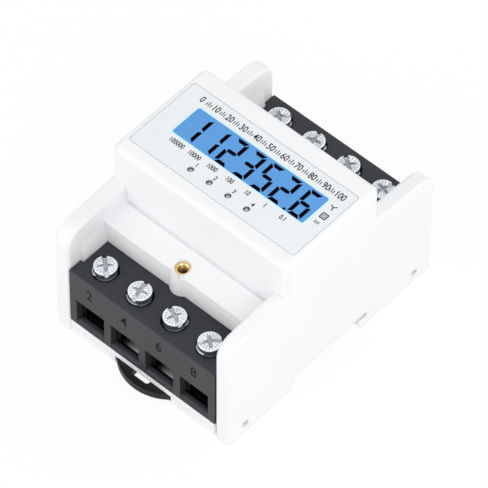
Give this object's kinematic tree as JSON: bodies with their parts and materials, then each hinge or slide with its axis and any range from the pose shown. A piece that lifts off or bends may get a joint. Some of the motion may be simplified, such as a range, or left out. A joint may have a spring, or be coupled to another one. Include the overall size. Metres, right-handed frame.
{
  "type": "din rail energy meter",
  "caption": "Rail-mounted energy meter in a stepped white housing with a display, black screw terminal blocks at both ends and a sprung rail clip.",
  "frame": {"origin": "middle of the plane where the mounting rail's two flanges bear on the base", "axes": "+X along the rail, +Y from the terminals with even numbers to those with odd numbers, +Z out of the panel towards the display"},
  "size_m": [0.076, 0.104, 0.067],
  "materials": {
    "white_housing": "fine moulded texture, light grey-white",
    "black_terminal_block": "smooth moulded, slightly satin",
    "black_clip": "smooth moulded",
    "plated_steel": "bright nickel or zinc plating, brushed marks",
    "spring_steel": "plain spring strip",
    "copper_bar": "bare copper, colour of copper rather than brass",
    "brass_insert": "turned, knurled outside",
    "printed_label": "printed film, light grey",
    "display_window": "clear, flat",
    "lcd_glass": "polarised glass with blue ground",
    "white_holder": "smooth moulded",
    "blue_backlight": "light guide, blue",
    "circuit_board": "green solder mask",
    "dark_component": "moulded case",
    "transformer_case": "blue potting case",
    "capacitor_case": "dipped red case",
    "contact_rubber": "striped conductive rubber",
    "lamp_lens": "tinted lens, unlit"
  },
  "bodies": {
    "housing": {"cover": "white_housing", "base": "white_housing", "front_terminal_block": "black_terminal_block", "rear_terminal_block": "black_terminal_block", "clip_spring": "spring_steel", "front_label": "printed_label", "display_window": "display_window", "lcd_panel": "lcd_glass", "lcd_holder": "white_holder", "backlight": "blue_backlight", "main_board": "circuit_board", "display_board": "circuit_board", "board_link": "black_terminal_block", "storage_capacitor": "dark_component", "metering_chip": "dark_component", "front_insert": "brass_insert", "rear_insert": "brass_insert", "terminal_clamp_1": "plated_steel", "terminal_clamp_2": "plated_steel", "terminal_clamp_3": "plated_steel", "terminal_clamp_4": "plated_steel", "terminal_clamp_5": "plated_steel", "terminal_clamp_6": "plated_steel", "terminal_clamp_7": "plated_steel", "terminal_clamp_8": "plated_steel", "standoff_1": "brass_insert", "standoff_2": "brass_insert", "standoff_3": "brass_insert", "standoff_4": "brass_insert", "board_screw_1": "plated_steel", "board_screw_2": "plated_steel", "board_screw_3": "plated_steel", "board_screw_4": "plated_steel", "current_transformer_1": "transformer_case", "current_transformer_2": "transformer_case", "current_transformer_3": "transformer_case", "dropper_capacitor_1": "capacitor_case", "dropper_capacitor_2": "capacitor_case", "dropper_capacitor_3": "capacitor_case", "phase_bar_1": "copper_bar", "phase_bar_2": "copper_bar", "phase_bar_3": "copper_bar", "neutral_bar": "copper_bar", "contact_strip_1": "contact_rubber", "contact_strip_2": "contact_rubber", "indicator_led_1": "lamp_lens", "indicator_led_2": "lamp_lens", "indicator_led_3": "lamp_lens", "indicator_led_4": "lamp_lens"},
    "clip": {"din_clip": "black_clip"},
    "terminal_screw_1": {"terminal_screw_1": "plated_steel"},
    "terminal_screw_2": {"terminal_screw_2": "plated_steel"},
    "terminal_screw_3": {"terminal_screw_3": "plated_steel"},
    "terminal_screw_4": {"terminal_screw_4": "plated_steel"},
    "terminal_screw_5": {"terminal_screw_5": "plated_steel"},
    "terminal_screw_6": {"terminal_screw_6": "plated_steel"},
    "terminal_screw_7": {"terminal_screw_7": "plated_steel"},
    "terminal_screw_8": {"terminal_screw_8": "plated_steel"}
  },
  "joints": [
    {"name": "terminal_screw_1_travel", "type": "slide", "parent": "housing", "child": "terminal_screw_1", "axis": [0, 0, -1], "range_m": [0, 0.01]},
    {"name": "terminal_screw_2_travel", "type": "slide", "parent": "housing", "child": "terminal_screw_2", "axis": [0, 0, -1], "range_m": [0, 0.01]},
    {"name": "terminal_screw_3_travel", "type": "slide", "parent": "housing", "child": "terminal_screw_3", "axis": [0, 0, -1], "range_m": [0, 0.01]},
    {"name": "terminal_screw_4_travel", "type": "slide", "parent": "housing", "child": "terminal_screw_4", "axis": [0, 0, -1], "range_m": [0, 0.01]},
    {"name": "terminal_screw_5_travel", "type": "slide", "parent": "housing", "child": "terminal_screw_5", "axis": [0, 0, -1], "range_m": [0, 0.01]},
    {"name": "terminal_screw_6_travel", "type": "slide", "parent": "housing", "child": "terminal_screw_6", "axis": [0, 0, -1], "range_m": [0, 0.01]},
    {"name": "terminal_screw_7_travel", "type": "slide", "parent": "housing", "child": "terminal_screw_7", "axis": [0, 0, -1], "range_m": [0, 0.01]},
    {"name": "terminal_screw_8_travel", "type": "slide", "parent": "housing", "child": "terminal_screw_8", "axis": [0, 0, -1], "range_m": [0, 0.01]},
    {"name": "din_clip_travel", "type": "slide", "parent": "housing", "child": "clip", "axis": [0, -1, 0], "range_m": [0, 0.004], "stiffness_N_per_m": 800, "deforming": ["clip_spring"]}
  ]
}
